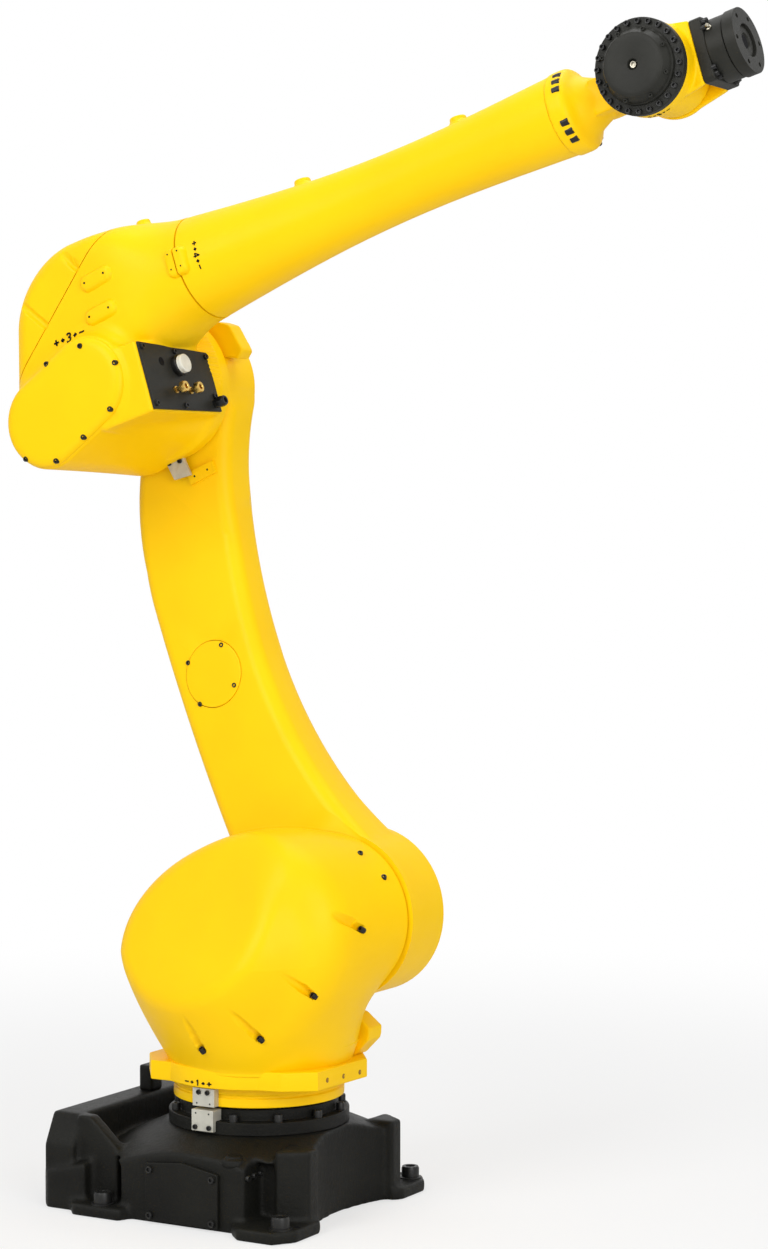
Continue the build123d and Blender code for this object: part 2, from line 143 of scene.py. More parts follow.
# two tones, roughness, fixed inputs, scales of the three noises, lifts of the fine and middle one, bump in metres
finishLooks = {
    "yellow_paint": {"tones": ((1.0, 0.62, 0.0), (0.97, 0.585, 0.0)), "roughness": (0.40, 0.54),
                     "fixed": {"Coat Weight": 0.03, "Coat Roughness": 0.2, "Specular IOR Level": 0.14},
                     "scales": (5, 70, 700), "lifts": (0.35, 0.5), "depth": 0.0006},
    "black_casting": {"tones": ((0.006, 0.006, 0.005), (0.010, 0.010, 0.008)), "roughness": (0.34, 0.52),
                      "fixed": {"Specular IOR Level": 0.13},
                      "scales": (9, 120, 520), "lifts": (0.8, 0.7), "depth": 0.0012},
    "black_steel": {"tones": ((0.020, 0.020, 0.017), (0.027, 0.027, 0.023)), "roughness": (0.34, 0.5),
                    "fixed": {"Specular IOR Level": 0.12},
                    "scales": (14, 200, 900), "lifts": (0.5, 0.3), "depth": 0.0004},
    "mark_plate": {"tones": ((0.56, 0.55, 0.48), (0.47, 0.46, 0.40)), "roughness": (0.3, 0.5),
                   "fixed": {"Metallic": 0.35},
                   "scales": (40, 300, 1200), "lifts": (0.4, 0.3), "depth": 0.0003},
    "white_cap": {"tones": ((0.80, 0.79, 0.70), (0.72, 0.71, 0.62)), "roughness": (0.35, 0.5), "fixed": {},
                  "scales": (60, 300, 1000), "lifts": (0.3, 0.3), "depth": 0.0003},
    "brass_fitting": {"tones": ((0.72, 0.48, 0.13), (0.60, 0.38, 0.09)), "roughness": (0.18, 0.36),
                      "fixed": {"Metallic": 1.0},
                      "scales": (80, 300, 1200), "lifts": (0.3, 0.4), "depth": 0.0002},
    "bolt_black": {"tones": ((0.007, 0.007, 0.007), (0.012, 0.012, 0.011)), "roughness": (0.3, 0.45),
                   "fixed": {"Specular IOR Level": 0.3},
                   "scales": (60, 300, 1100), "lifts": (0.4, 0.3), "depth": 0.0003},
    "bright_steel": {"tones": ((0.34, 0.32, 0.26), (0.25, 0.23, 0.18)), "roughness": (0.2, 0.4),
                     "fixed": {"Metallic": 1.0},
                     "scales": (60, 300, 1100), "lifts": (0.4, 0.3), "depth": 0.0002},
    # dark amber for the flange's holes: painted shade of the yellow paint inside each hole, laid as a flat disc
    "tapped_hole": {"tones": ((0.30, 0.13, 0.0), (0.22, 0.09, 0.0)), "roughness": (0.5, 0.7), "fixed": {},
                    "scales": (60, 400, 1300), "lifts": (0.3, 0.3), "depth": 0.0001},
    # near black for two things: real print ink of the zero marks, and painted shade inside holes, openings and the
    # bore, laid as flat discs
    "mark_ink": {"tones": ((0.005, 0.005, 0.006), (0.009, 0.009, 0.010)), "roughness": (0.5, 0.7),
                 "fixed": {"Specular IOR Level": 0.06},
                 "scales": (60, 400, 1300), "lifts": (0.3, 0.3), "depth": 0.0001},
}
finishes = {name: finishOf(name, look) for name, look in finishLooks.items()}
slotOfNode = {part["node"]: part["material_slot"] for part in frame["record"]["subparts"]}
bodyOfNode = {node: body for body, nodes in frame["record"]["behaviour"]["bodies"].items() for node in nodes}
print("materials made:", len(finishes))


def finishPiece(mesh, name, body, finish, nodes=(), sharpAngle=40):
    # one object at the origin, riding a body, standing for the CAD nodes it redraws
    mesh.materials.clear()
    mesh.materials.append(finishes[finish])
    mesh.shade_smooth()
    mesh.set_sharp_from_angle(angle=math.radians(sharpAngle))
    piece = bpy.data.objects.new(name, mesh)
    bpy.context.scene.collection.objects.link(piece)
    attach(piece, body)
    if nodes:
        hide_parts(*nodes)
    return piece


def gridMesh(name, points, closed=True, ends=(None, None)):
    # points[k, i, j] on one or many equal grids; i runs round when closed; a pole point may shut either end of j
    grids = points.reshape(-1, *points.shape[-3:])
    count, rows, columns = grids.shape[:3]
    index = np.arange(count * rows * columns).reshape(count, rows, columns)
    right = np.roll(index, -1, 1) if closed else index[:, 1:]
    left = index if closed else index[:, :-1]
    quads = np.stack([left[..., :-1], right[..., :-1], right[..., 1:], left[..., 1:]], -1).reshape(-1, 4)
    corners, fans = grids.reshape(-1, 3), []
    for end, column, flip in ((ends[0], 0, False), (ends[1], columns - 1, True)):
        if end is None:
            continue
        pole = np.broadcast_to(np.arange(count)[:, None] + len(corners), left[..., column].shape)
        corners = np.vstack([corners, np.reshape(end, (count, 3))])
        fan = np.stack([pole, right[..., column], left[..., column]], -1).reshape(-1, 3)
        fans += (fan[:, ::-1] if flip else fan).tolist()
    mesh = bpy.data.meshes.new(name)
    mesh.from_pydata(corners.tolist(), [], quads.tolist() + fans)
    return mesh


def roundCorners(points, radius, steps=4, share=0.45):
    # each inner corner of an open profile becomes a short quadratic curve of about that radius
    points = np.asarray(points, float)
    before, here, after = points[:-2], points[1:-1], points[2:]
    back, ahead = before - here, after - here
    backLength = np.linalg.norm(back, axis=1, keepdims=True)
    aheadLength = np.linalg.norm(ahead, axis=1, keepdims=True)
    reach = np.minimum(radius, share * np.minimum(backLength, aheadLength))
    start, end = here + back / backLength * reach, here + ahead / aheadLength * reach
    part = np.linspace(0, 1, steps)[None, :, None]
    curve = (1 - part) ** 2 * start[:, None] + 2 * part * (1 - part) * here[:, None] + part ** 2 * end[:, None]
    return np.vstack([points[:1], curve.reshape(-1, 2), points[-1:]])


def turnedMesh(name, outline, place, seats, axis, segments=96):
    # rows of radius and height turned about the axis at each seat; a third figure draws a row towards a hexagon
    outline = np.asarray(outline, float)
    seats = np.reshape(np.asarray(seats, float), (-1, 3))
    axis = np.broadcast_to(np.asarray(axis, float), seats.shape)
    axis = axis / np.linalg.norm(axis, axis=1, keepdims=True)
    side = np.cross(axis, np.where(np.abs(axis[:, 2:]) < 0.9, (0.0, 0.0, 1.0), (0.0, 1.0, 0.0)))
    side = side / np.linalg.norm(side, axis=1, keepdims=True)
    turn = np.linspace(0, 2 * np.pi, segments, endpoint=False)[:, None]
    spin = np.cos(turn) * side[:, None] + np.sin(turn) * np.cross(axis, side)[:, None]
    hexagon = math.cos(np.pi / 6) / np.cos(turn % (np.pi / 3) - np.pi / 6) - 1
    girth = outline[:, 0] * (1 + outline[:, 2] * hexagon if outline.shape[1] > 2 else np.ones_like(turn))
    rise = axis[:, None, None] * outline[:, 1:2]
    points = seats[:, None, None] + spin[:, :, None] * girth[..., None] + rise
    poles = [seats + axis * outline[row, 1] for row in (0, -1)]
    return gridMesh(name, toWorld(place, points), ends=[toWorld(place, pole) for pole in poles])


# copies of CAD nodes: metres of the weld, degrees of a flat join and of a sharp edge, share of each smoothing pass
copying = {"weld": 2e-5, "flat": 0.4, "sharp": 38, "evening": 0.6}


def nodeCopy(node):
    # the CAD node's own faces, merged, with flat stretches joined
    source = bmesh.new()
    source.from_mesh(frame["nodes"][node].data)
    bmesh.ops.remove_doubles(source, verts=source.verts, dist=copying["weld"])
    flat = math.radians(copying["flat"])
    bmesh.ops.dissolve_limit(source, angle_limit=flat, verts=source.verts, edges=source.edges)
    mesh = bpy.data.meshes.new(node)
    source.to_mesh(mesh)
    source.free()
    return finishPiece(mesh, node + "Cast", bodyOfNode[node], slotOfNode[node], (node,), copying["sharp"])


def softenEdges(piece, width, segments=2, angle=45):
    edge = piece.modifiers.new("softEdge", "BEVEL")
    edge.width, edge.segments = width / 1000, segments
    edge.limit_method, edge.angle_limit = "ANGLE", math.radians(angle)
    edge.harden_normals = True
    return piece


def castEdges(piece, grain, passes):
    # a fine even grid, evened out, rounds edges and inner corners as a casting has them
    remesh = piece.modifiers.new("castGrid", "REMESH")
    remesh.mode, remesh.voxel_size, remesh.use_smooth_shade = "VOXEL", grain / 1000, True
    smooth = piece.modifiers.new("castSkin", "SMOOTH")
    smooth.factor, smooth.iterations = copying["evening"], passes
    return piece


# cast nodes: grid in millimetres and smoothing passes
castNodes = {"base_casting": (4.5, 9), "turret_stop_block": (2.5, 9), "wrist_casting": (2.5, 7),
             "wrist_housing": (2.5, 5), "rear_stop_post": (3, 7), "lower_arm_stop_ear": (3, 10)}
for nodeName, (grain, passes) in castNodes.items():
    castEdges(nodeCopy(nodeName), grain, passes)
# machined nodes: width of the rounded edge in millimetres
softEdges = {"base_side_cover": 2, "base_mark_plate": 1, "j1_bearing_ring": 2, "turret_mark_plate": 1, "lower_arm": 4,
             "lower_arm_mark_pad": 3, "elbow_mark_plate": 1, "connector_panel": 1, "forearm_tube": 1,
             "wrist_cover_far": 2, "wrist_plate": 2, "flange_housing": 2, "tool_flange": 1}
for nodeName, edgeWidth in softEdges.items():
    softenEdges(nodeCopy(nodeName), edgeWidth, angle=copying["sharp"])
print("castings copied:", len(castNodes) + len(softEdges))


# soft joins of distance fields, in millimetres
def softMin(first, second, blend):
    # the smaller distance, eased over the blend width where the two meet
    share = np.clip(0.5 + 0.5 * (second - first) / blend, 0, 1)
    return second + (first - second) * share - blend * share * (1 - share)


def softMax(first, second, blend):
    return -softMin(-first, -second, blend)


def roundMax(first, second, radius):
    # the larger distance, with the shared edge turned to an arc
    beyond = np.hypot(np.maximum(first + radius, 0), np.maximum(second + radius, 0))
    return np.minimum(np.maximum(first, second) + radius, 0) + beyond - radius


def easeStep(low, high, value):
    part = np.clip((value - low) / (high - low), 0, 1)
    return part * part * (3 - 2 * part)


def between(pair, part):
    return pair[0] + (pair[1] - pair[0]) * part


def groove(points, field, seat, along, radius, blend):
    # a round trough from the seat outwards along one direction, taken out of the field
    seat, along = np.asarray(seat, float), np.asarray(along, float) / np.linalg.norm(along)
    offset = points - seat
    run = np.maximum(offset @ along, 0)
    reach = np.linalg.norm(offset - run[:, None] * along, axis=1) - radius
    return softMax(field, -reach, blend)


# steps inwards along each ray, halvings of the last one, and the direction that the turn starts from
rayWalk = {"levels": 71, "halvings": 13, "start": (0.3, 0.2, 0.93)}


def crowded(count, middle, share):
    # even steps from 0 to 1, drawn towards the middle by a sine
    steps = np.linspace(0, 1, count)
    drawn = steps - share * np.sin(2 * np.pi * (steps - middle)) / (2 * np.pi)
    return drawn - drawn[0]


def starMesh(name, field, place, centre, pole, reach, counts, turnFocus=(0.5, 0), tiltFocus=(0.5, 0)):
    # distance from the centre to the skin for every turn and tilt: steps come inwards, then halve
    pole = np.array(pole, float) / np.linalg.norm(pole)
    side = np.cross(pole, rayWalk["start"])
    side = side / np.linalg.norm(side)
    other = np.cross(pole, side)
    turn = 2 * np.pi * crowded(counts[0] + 1, *turnFocus)[:-1, None, None]
    tilt = np.pi * (1 - crowded(counts[1] + 2, *tiltFocus))[None, 1:-1, None]
    rays = np.cos(tilt) * pole + np.sin(tilt) * (np.cos(turn) * side + np.sin(turn) * other)
    rays = np.vstack([rays.reshape(-1, 3), -pole, pole])
    inner, outer, found = np.zeros(len(rays)), np.full(len(rays), float(reach)), np.zeros(len(rays), bool)
    levels = np.linspace(reach, 0, rayWalk["levels"])
    for before, level in zip(levels[:-1], levels[1:]):
        hit = (field(centre + rays * level) < 0) & ~found
        inner[hit], outer[hit] = level, before
        found |= hit
    for halving in range(rayWalk["halvings"]):
        middle = (inner + outer) / 2
        inside = field(centre + rays * middle[:, None]) < 0
        inner, outer = np.where(inside, middle, inner), np.where(inside, outer, middle)
    skin = toWorld(place, centre + rays * inner[:, None])
    return gridMesh(name, skin[:-2].reshape(counts[0], counts[1], 3), ends=(skin[-2], skin[-1]))


def cutMesh(mesh, place, spot, normal):
    # what lies before the plane goes, and a flat face shuts the cut
    cut = bmesh.new()
    cut.from_mesh(mesh)
    everything = list(cut.verts) + list(cut.edges) + list(cut.faces)
    facing = Vector(np.asarray(normal, float) @ place[1])
    bmesh.ops.bisect_plane(cut, geom=everything, dist=1e-7, plane_co=Vector(toWorld(place, spot)), plane_no=facing,
                           clear_outer=True)
    bmesh.ops.holes_fill(cut, edges=[edge for edge in cut.edges if edge.is_boundary], sides=0)
    cut.to_mesh(mesh)
    cut.free()
    return mesh


# turret housing: egg of leaning rings joined to the cone of the second axis, with a flat tilted near face
faceNormal = np.array([-0.2, -0.86, 0.45])
faceNormal = faceNormal / np.linalg.norm(faceNormal)
turret = {"heart": (-4, -50, 510), "girth": 244.5, "rise": 238, "lean": (0.0009, 0.0004),
          "foot": 295, "footGirth": 182.5, "footShift": (16, 40), "belly": 1.55,
          "seam": 57, "axis": (150, 580), "seamGirth": 158, "root": (80, -110, 560), "rootGirth": 186,
          "coneEnd": -150, "coneBlend": 60, "joinBlend": 60, "faceSpot": (15, -212, 560), "faceBlend": 20,
          "centre": (60, -60, 480), "reach": 430, "rays": (370, 250), "sharp": 50, "edge": 2.0,
          "turnFocus": (0.46, 0.45), "tiltFocus": (0.55, 0.5),
          "scoopGirth": 8, "scoopBlend": 2.0, "scoopLean": 0.82, "scoopSink": 4.5, "boltSink": 1.5, "boltBack": 5,
          "scoops": ((270, -67, 576), (211, -146, 459), (123, -191, 375), (10, -214, 347))}


def turretBody(points):
    x, y, z = points.T
    heart, girth = turret["heart"], turret["girth"]
    above, below = np.maximum(z - heart[2], 0), np.maximum(heart[2] - z, 0) / (heart[2] - turret["foot"])
    radial = np.hypot(x - heart[0] - turret["lean"][0] * above ** 2 - turret["footShift"][0] * below,
                      y - heart[1] - turret["lean"][1] * above ** 2 - turret["footShift"][1] * below)
    dome = (np.hypot(radial / girth, above / turret["rise"]) - 1) * turret["rise"]
    pedestal = radial - girth + (girth - turret["footGirth"]) * below ** turret["belly"]
    egg = np.where(z > heart[2], dome, pedestal)
    part = (turret["seam"] - y) / (turret["seam"] - turret["root"][1])
    axisX = between((turret["axis"][0], turret["root"][0]), part)
    axisZ = between((turret["axis"][1], turret["root"][2]), part)
    cone = np.hypot(x - axisX, z - axisZ) - between((turret["seamGirth"], turret["rootGirth"]), part)
    cone = softMax(cone, turret["coneEnd"] - y, turret["coneBlend"])
    face = (points - turret["faceSpot"]) @ faceNormal
    return softMax(softMin(egg, cone, turret["joinBlend"]), face, turret["faceBlend"])


# each scoop starts on the skin and runs along the near face's normal, laid over towards the skin
scoopSeats = np.array(turret["scoops"], float)
scoopSkin = np.stack([turretBody(scoopSeats + step) - turretBody(scoopSeats - step) for step in np.eye(3)], 1)
scoopSkin = scoopSkin / np.linalg.norm(scoopSkin, axis=1, keepdims=True)
scoopSeats = scoopSeats - turretBody(scoopSeats)[:, None] * scoopSkin
scoopLift = (scoopSkin @ faceNormal)[:, None]
scoopRuns = faceNormal - turret["scoopLean"] * scoopLift * scoopSkin


def turretField(points):
    field = turretBody(points)
    for seat, along in zip(scoopSeats - turret["scoopSink"] * scoopSkin, scoopRuns):
        field = groove(points, field, seat, along, turret["scoopGirth"], turret["scoopBlend"])
    return field


turretShell = starMesh("turretShell", turretField, worldFrame, turret["centre"], faceNormal, turret["reach"],
                       turret["rays"], turret["turnFocus"], turret["tiltFocus"])
cutMesh(turretShell, worldFrame, (0, turret["seam"], 0), inward)
cutMesh(turretShell, worldFrame, (0, 0, turret["foot"]), downward)
turretPiece = finishPiece(turretShell, "turretHousing", "turret", "yellow_paint", ("turret_casting",), turret["sharp"])
softenEdges(turretPiece, turret["edge"])

# foot of the turret: a skirt under the arm's sweep, the flange plate and the turned ring
footTurns = 160
skirt = {"spot": (11, -13, 0), "bottom": 288, "rim": 335, "inset": 1.5, "lip": (14, 341), "top": 346, "round": 8,
         "rows": 12}
skirtRise = np.linspace(turret["foot"], skirt["rim"], skirt["rows"])
skirtBelow = (turret["heart"][2] - skirtRise) / (turret["heart"][2] - turret["foot"])
skirtGirth = turret["girth"] - skirt["inset"] - (turret["girth"] - turret["footGirth"]) * skirtBelow ** turret["belly"]
skirtFoot = [(0, skirt["bottom"]), (skirtGirth[0], skirt["bottom"])]
skirtLip = [(skirtGirth[-1] - skirt["lip"][0], skirt["lip"][1]), (0, skirt["top"])]
skirtOutline = roundCorners(np.vstack([skirtFoot, np.stack([skirtGirth, skirtRise], 1), skirtLip]), skirt["round"])
skirtMesh = turnedMesh("turretSkirt", skirtOutline[1:-1], worldFrame, skirt["spot"], upward, footTurns)
finishPiece(skirtMesh, "turretSkirt", "turret", "yellow_paint")
flange = {"girth": 195, "bottom": 262, "top": 300, "edge": 4, "wall": (-150, -60), "turns": 480, "soft": (2.0, 14),
          "front": ((0, -190), (148, -156), (205, -112), (213, 62), (168, 122), (0, 190)),
          "rear": ((0, 165), (-146, 168), (-196, 100), (-196, -100), (-146, -168), (0, -165))}


def polarReach(corners, turn):
    # distance from the origin to a convex outline along each direction
    first = np.array(corners, float)
    second = np.roll(first, -1, 0)
    normal = np.stack([second[:, 1] - first[:, 1], first[:, 0] - second[:, 0]], 1)
    normal = normal / np.linalg.norm(normal, axis=1, keepdims=True)
    gap = np.sum(normal * first, axis=1)
    facing = np.stack([np.cos(turn), np.sin(turn)], 1) @ normal.T
    return np.where(facing > 1e-6, gap / np.maximum(facing, 1e-6), 1e6).min(axis=1)


flangeCorners = [math.atan2(y, x) for x, y in flange["front"] + flange["rear"]]
flangeTurn = np.linspace(-np.pi, np.pi, flange["turns"], endpoint=False)
flangeTurn = np.unique(np.concatenate([flangeTurn, flangeCorners]))
flangeReach = np.maximum(polarReach(flange["front"], flangeTurn), polarReach(flange["rear"], flangeTurn))
flangeReach = np.maximum(flange["girth"], flangeReach)
flangeWall = roundCorners([(flange["wall"][0], flange["bottom"]), (0, flange["bottom"]), (0, flange["top"]),
                           (flange["wall"][1], flange["top"])], flange["edge"])
flangeGirth = flangeReach[:, None] + flangeWall[None, :, 0]
flangePoints = np.stack([flangeGirth * np.cos(flangeTurn)[:, None], flangeGirth * np.sin(flangeTurn)[:, None],
                         np.broadcast_to(flangeWall[:, 1], flangeGirth.shape)], -1)
flangeMesh = gridMesh("turretFlange", toWorld(worldFrame, flangePoints),
                      ends=[toWorld(worldFrame, (0, 0, flange[end])) for end in ("bottom", "top")])
flangeWidth, flangeAngle = flange["soft"]
softenEdges(finishPiece(flangeMesh, "turretFlange", "turret", "yellow_paint"), flangeWidth, angle=flangeAngle)
turretRing = {"round": 2, "outline": ((120, 223), (170, 223), (170, 240), (167, 242), (167, 246), (170, 248),
                                      (170, 264), (120, 264))}
ringOutline = roundCorners(turretRing["outline"], turretRing["round"])
ringMesh = turnedMesh("turretRing", ringOutline, worldFrame, (0, 0, 0), upward, footTurns)
finishPiece(ringMesh, "turretRing", "turret", "yellow_paint")
print("turret drawn, scoop lift", np.round(scoopLift[:, 0], 2))

# elbow housing: squared tube that turns round at the seam, slanted back, oblong drum, hub disc and connector box
elbow = {"halfWidth": 116, "edge": 45, "top": 297, "crown": 132, "rear": ((-132, 297), (-215, 25)),
         "tailCut": (-150, -10), "tailBlend": 14, "rootWidth": 118, "rootHeight": 133, "seamGirth": 105.5, "seam": 247,
         "squareSpan": (20, 225), "squarePower": (2.0, 4.0, 1.4), "narrowSpan": (100, 262), "tubeSpan": (10, 90),
         "drumSpan": (-150, 130), "drumGirth": (94, 120), "drumReach": (126, 85), "drumTilt": (20, 10),
         "drumShift": (10, -28), "drumEdges": (7, 4), "drumBlend": 36,
         "hubGirth": 152, "hubSpan": (103, 137), "hubEdge": 8, "hubBlend": 10,
         "boxX": (10, 132), "boxY": (-146, 102), "boxBottom": -102, "boxTop": (45.5, 31.5), "boxEdges": (5, 4),
         "boxBlend": 12, "centre": (10, -10, 70), "pole": (-0.2, -1, 0.1), "reach": 420, "rays": (360, 250),
         "parting": ((-260, 9), (130, 310)), "partingGap": 1.1, "slotGirth": 8, "slotBlend": 2.0,
         "slots": (((23, -116, 237), (-23, 0, 34)), ((-84, -116, 152), (-44, 0, 58))), "sharp": 50, "soft": 1.5}


def lineSide(x, z, first, second):
    # distance from a line in the side view, positive on its right hand
    run = np.subtract(second, first) / np.linalg.norm(np.subtract(second, first))
    return (x - first[0]) * run[1] - (z - first[1]) * run[0]


def elbowField(points):
    x, y, z = points.T
    # slanted box behind, a tube of squared rings that turn round towards the seam, blended along the forearm
    rear = lineSide(x, z, *elbow["rear"])
    tail = np.maximum(lineSide(x, z, elbow["rear"][1], elbow["tailCut"]), elbow["tailCut"][1] - z)
    body = roundMax(np.abs(y) - elbow["halfWidth"], roundMax(rear, z - elbow["top"], elbow["crown"]), elbow["edge"])
    body = softMax(body, tail, elbow["tailBlend"])
    roundPower, squarePower, fall = elbow["squarePower"]
    squared = roundPower + squarePower * (1 - easeStep(*elbow["squareSpan"], x)) ** fall
    narrow = easeStep(*elbow["narrowSpan"], x)
    halfY = between((elbow["rootWidth"], elbow["seamGirth"]), narrow)
    halfZ = between((elbow["rootHeight"], elbow["seamGirth"]), narrow)
    rings = np.abs(y / halfY) ** squared + np.abs((z - forearmLift) / halfZ) ** squared
    tube = (rings ** (1 / squared) - 1) * elbow["seamGirth"]
    housing = between((body, tube), easeStep(*elbow["tubeSpan"], x))
    # drum: an oblong whose length, girth and tilt change from the near end to the arm
    part = np.clip((y - elbow["drumSpan"][0]) / (elbow["drumSpan"][1] - elbow["drumSpan"][0]), 0, 1)
    tilt = np.radians(between(elbow["drumTilt"], part))
    dropX, dropZ = x - elbow["drumShift"][0] * part, z - elbow["drumShift"][1] * part
    run = np.clip(-dropX * np.cos(tilt) - dropZ * np.sin(tilt), 0, between(elbow["drumReach"], part))
    drum = np.hypot(dropX + run * np.cos(tilt), dropZ + run * np.sin(tilt)) - between(elbow["drumGirth"], part)
    drum = roundMax(drum, elbow["drumSpan"][0] - y, elbow["drumEdges"][0])
    drum = roundMax(drum, y - elbow["drumSpan"][1], elbow["drumEdges"][1])
    hub = roundMax(np.hypot(x, z) - elbow["hubGirth"], elbow["hubSpan"][0] - y, elbow["hubEdge"])
    # connector box with a top edge that falls towards the arm
    (near, far), (sideEdge, faceEdge) = elbow["boxY"], elbow["boxEdges"]
    lid = z - between(elbow["boxTop"], (y - near) / (far - near))
    box = roundMax(roundMax(near - y, y - far, sideEdge), np.maximum(lid, elbow["boxBottom"] - z), sideEdge)
    box = roundMax(box, np.maximum(x - elbow["boxX"][1], elbow["boxX"][0] - x), faceEdge)
    field = softMin(softMin(housing, drum, elbow["drumBlend"]), hub, elbow["hubBlend"])
    field = softMin(field, box, elbow["boxBlend"])
    for seat, along in elbow["slots"]:
        field = groove(points, field, seat, along, elbow["slotGirth"], elbow["slotBlend"])
    return field


elbowShell = starMesh("elbowShell", elbowField, elbowFrame, elbow["centre"], elbow["pole"], elbow["reach"],
                      elbow["rays"])
cutMesh(elbowShell, elbowFrame, (elbow["seam"], 0, 0), forward)
cutMesh(elbowShell, elbowFrame, (0, elbow["hubSpan"][1], 0), inward)
partStart, partEnd = np.array(elbow["parting"], float)
partNormal = np.array([partStart[1] - partEnd[1], 0, partEnd[0] - partStart[0]]) / np.linalg.norm(partEnd - partStart)
partSpot = np.array([partStart[0], 0, partStart[1]])
partShift = partNormal * elbow["partingGap"]
coverShell = cutMesh(elbowShell.copy(), elbowFrame, partSpot + partShift, -partNormal)
cutMesh(elbowShell, elbowFrame, partSpot - partShift, partNormal)
elbowShells = {"elbowHousing": (elbowShell, "elbow_casting"), "motorCover": (coverShell, "elbow_motor_cover")}
for shellName, (mesh, nodeName) in elbowShells.items():
    softenEdges(finishPiece(mesh, shellName, "elbow", "yellow_paint", (nodeName,), elbow["sharp"]), elbow["soft"])
print("elbow drawn")

# pads: a rounded outline drawn inwards as it rises, its corners moved apart by half the straight length and height
padTurns = 144
oblongPad = {"spread": (23, 0), "girth": 14, "tilt": 5,
             "rows": ((-7, -113), (-4, -117.5), (-1.2, -121.5), (1.5, -124.4), (5, -125.7), (8, -126))}
seamPad = {"middle": (248.5, 168), "spread": (11, 15), "girth": 11.5, "tilt": 0}
padShapes = {
    "sideCover": {"node": "elbow_side_cover", "body": "elbow", "middle": (-59.2, -21.5), "spread": (63, 0),
                  "girth": 91, "tilt": 20,
                  "rows": ((0, -149), (0, -151), (1.6, -155), (5.5, -159), (11.5, -162.2), (19, -163.7), (28, -164))},
    "upperPad": {"node": "elbow_pad_upper", "body": "elbow", "middle": (65, 198), **oblongPad},
    "lowerPad": {"node": "elbow_pad_lower", "body": "elbow", "middle": (56, 130), **oblongPad},
    "rearSeamPad": {"node": "elbow_seam_pad", "body": "elbow", "cut": (247, 1), **seamPad,
                    "rows": ((-4, -88), (-3, -103), (-0.5, -109), (2, -112.3), (5, -113.3), (8, -113.5))},
    "frontSeamPad": {"node": "forearm_seam_pad", "body": "forearm", "cut": (250, -1), **seamPad,
                     "rows": ((-4, -88), (-3, -101), (-0.5, -108), (2, -112), (5, -113.3), (8, -113.5))},
}


def padMesh(name, shape):
    # each turn of the outline: corner centre by quadrant, plus the facing times what is left of the girth
    turn = (np.arange(padTurns) + 0.5) * 2 * np.pi / padTurns
    facing = np.stack([np.cos(turn), np.sin(turn)], 1)
    inset, depth = np.array(shape["rows"], float).T
    flat = np.sign(facing)[:, None] * shape["spread"] + facing[:, None] * (shape["girth"] - inset)[None, :, None]
    tilt = math.radians(shape["tilt"])
    flat = flat @ np.array([[math.cos(tilt), math.sin(tilt)], [-math.sin(tilt), math.cos(tilt)]]) + shape["middle"]
    points = np.stack([flat[..., 0], np.broadcast_to(depth, flat.shape[:2]), flat[..., 1]], -1)
    poles = [(shape["middle"][0], depth[row], shape["middle"][1]) for row in (0, -1)]
    return gridMesh(name, toWorld(elbowFrame, points), ends=[toWorld(elbowFrame, pole) for pole in poles])


for padName, shape in padShapes.items():
    mesh = padMesh(padName, shape)
    if "cut" in shape:
        cutMesh(mesh, elbowFrame, (shape["cut"][0], 0, 0), (shape["cut"][1], 0, 0))
    finishPiece(mesh, padName, shape["body"], "yellow_paint", (shape["node"],))
print("pads drawn:", len(padShapes))

# the lower arm's near face leans out with its height
armLean = {"depth": 62, "from": 200, "slope": 80 / 620, "facing": (0, -0.9918, 0.1279)}
bossRows = ((10, 230), (26, 233), (22, 239), (17, 244), (16, 252.6), (6, 253))
